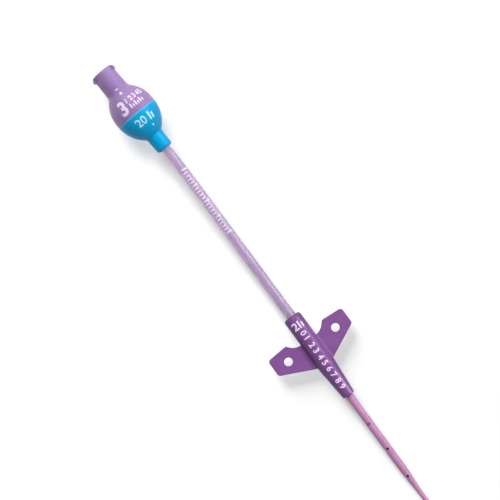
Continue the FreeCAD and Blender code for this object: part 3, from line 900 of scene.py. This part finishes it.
def makeDepthZero(spec, tube):
    zero = numeral(spec["numeral"], spec["height"], *spec["corner"], spec["bold"])
    layInk("depthZero", [zero], fromAbove(surfaceOf(tube), *spec["at"]), darkInk)


makeBulbPrint(bulbPrint)
makeLuerGlints(luerGlints)
makeBluePrint(bluePrint)
makeTubePrint(tubePrint, extensionPiece)
makeJunctionPrint(junctionPrint)
makeDepthZero(depthZero, catheterPiece)
print("prints laid")


# Floor, world and lamps; lengths in metres unless they say mm

studio = {
    "floorSize": 6.0,
    "floorCells": 4,
    "floorDrop": 0.00002,  # below the object's lowest faces, so that none lies in the floor's own plane
    "floorColour": (0.45, 0.45, 0.45, 1),
    "floorLift": 0.08,  # what the camera sees beside the lamps' light, so that the lit floor is white
    "farLift": 1.0,  # far from the object, where the lamps fade, the floor stays white
    "farFrom": 0.18,
    "farTo": 0.7,
    # the next value is a painted pool of light on the floor under the suture holes
    "holePaintedLight": 0.1,  # the floor is whiter where it shows through the suture holes
    "holeFull": 1.25,  # mm from a hole's middle
    "holeNone": 1.75,
    "skyColour": (1, 1, 1, 1),
    "fill": 0.25,  # the sky's own light, while the camera sees it white
}

# The key stands to the picture's upper left and the side lamp to its upper right. The other two light the
# floor alone, because the shadows are as long under the low wings as under the high bulb.
lamps = {
    "key": {"from": (-0.974, 0.194), "elevation": 46, "distance": 0.9, "size": 0.46, "power": 5.0},
    "side": {"from": (0.1, 0.981), "elevation": 36, "distance": 1.1, "size": 0.5, "power": 7.4},
    "hubShade": {"from": (-0.985, 0.17), "elevation": 47, "distance": 1.8, "size": 1.05, "power": 52.5,
                 "blockers": ("luer_housing", "lower_housing")},
    "wingShade": {"from": (-0.992, 0.124), "elevation": 26, "distance": 1.8, "size": 1.05, "power": 79,
                  "blockers": ("winged_junction",)},
}


def seenDirectly(tree):
    # one for what the camera sees, also in a gloss or through the clear tube
    path = put(tree, "ShaderNodeLightPath").outputs
    seen = calc(tree, "MAXIMUM", path["Is Camera Ray"], path["Is Glossy Ray"])
    return calc(tree, "MAXIMUM", seen, path["Is Transmission Ray"])


def paintedLightUnderHoles(tree, spec):
    # a painted pool of light on the floor right under each suture hole
    holes = mounts["suture_holes"]
    place = objectPlace(tree)
    masks = []
    for side in (-1, 1):
        middle = (holes["pos_m"][0], side * holes["dims"]["spacing_y_mm"] / 2 * mm, 0)
        away = calcVector(tree, "DISTANCE", {0: place, 1: middle})["Value"]
        masks.append(stretch(tree, away, spec["holeNone"] * mm, spec["holeFull"] * mm))
    return calc(tree, "MULTIPLY", calc(tree, "MAXIMUM", *masks), spec["holePaintedLight"])


def floorMaterial(spec):
    material = bpy.data.materials.new("paleFloor")
    material.use_nodes = True
    tree = material.node_tree
    tree.nodes.clear()
    away = calcVector(tree, "LENGTH", {0: objectPlace(tree)})["Value"]
    lift = stretch(tree, away, spec["farFrom"], spec["farTo"], spec["floorLift"], spec["farLift"])
    level = calc(tree, "ADD", paintedLightUnderHoles(tree, spec), lift)
    seen = calc(tree, "MULTIPLY", seenDirectly(tree), level)
    lit = put(tree, "ShaderNodeBsdfDiffuse", {"Color": spec["floorColour"]}).outputs[0]
    white = put(tree, "ShaderNodeEmission", {"Strength": seen}).outputs[0]
    both = put(tree, "ShaderNodeAddShader", {0: lit, 1: white}).outputs[0]
    put(tree, "ShaderNodeOutputMaterial", {"Surface": both})
    return material


def makeFloor(spec):
    shape = bmesh.new()
    cells = spec["floorCells"]
    bmesh.ops.create_grid(shape, x_segments=cells, y_segments=cells, size=spec["floorSize"] / 2)
    mesh = bpy.data.meshes.new("floor")
    shape.to_mesh(mesh)
    shape.free()
    mesh.materials.append(floorMaterial(spec))
    floor = bpy.data.objects.new("floor", mesh)
    bpy.context.scene.collection.objects.link(floor)
    floor.location = (0, 0, -spec["floorDrop"])
    return floor


def makeWorld(spec):
    world = bpy.data.worlds.new("studio")
    world.use_nodes = True
    bpy.context.scene.world = world
    tree = world.node_tree
    sky = tree.nodes["Background"]
    sky.inputs["Color"].default_value = spec["skyColour"]
    strength = stretch(tree, seenDirectly(tree), 0.0, 1.0, spec["fill"], 1.0)
    tree.links.new(strength, sky.inputs["Strength"])


def makeLamp(name, spec):
    lamp = bpy.data.lights.new(name, "AREA")
    lamp.shape = "SQUARE"
    lamp.size = spec["size"]
    lamp.energy = spec["power"]
    stand = bpy.data.objects.new(name, lamp)
    bpy.context.scene.collection.objects.link(stand)
    high = math.radians(spec["elevation"])
    flat = Vector(spec["from"]).normalized() * math.cos(high)
    away = Vector((flat.x, flat.y, math.sin(high)))
    stand.location = away * spec["distance"]
    stand.rotation_mode = "QUATERNION"
    stand.rotation_quaternion = away.to_track_quat("Z", "Y")
    return stand


def linkLamp(stand, spec, floor, tubes):
    # a shade lamp lights the floor past its own blockers and the tubes, the others light all but the floor
    lit = bpy.data.collections.new(stand.name + "Lights")
    lit.objects.link(floor)
    stand.light_linking.receiver_collection = lit
    if "blockers" not in spec:
        lit.collection_objects[0].light_linking.link_state = "EXCLUDE"
        return
    blockers = bpy.data.collections.new(stand.name + "Blockers")
    for piece in [nodes[name] for name in spec["blockers"]] + tubes:
        blockers.objects.link(piece)
    stand.light_linking.blocker_collection = blockers


floor = makeFloor(studio)
makeWorld(studio)
for lampName, lampSpec in lamps.items():
    linkLamp(makeLamp(lampName, lampSpec), lampSpec, floor, [extensionPiece, catheterPiece])
bpy.context.scene.view_settings.view_transform = "Standard"
print("floor and lamps set")
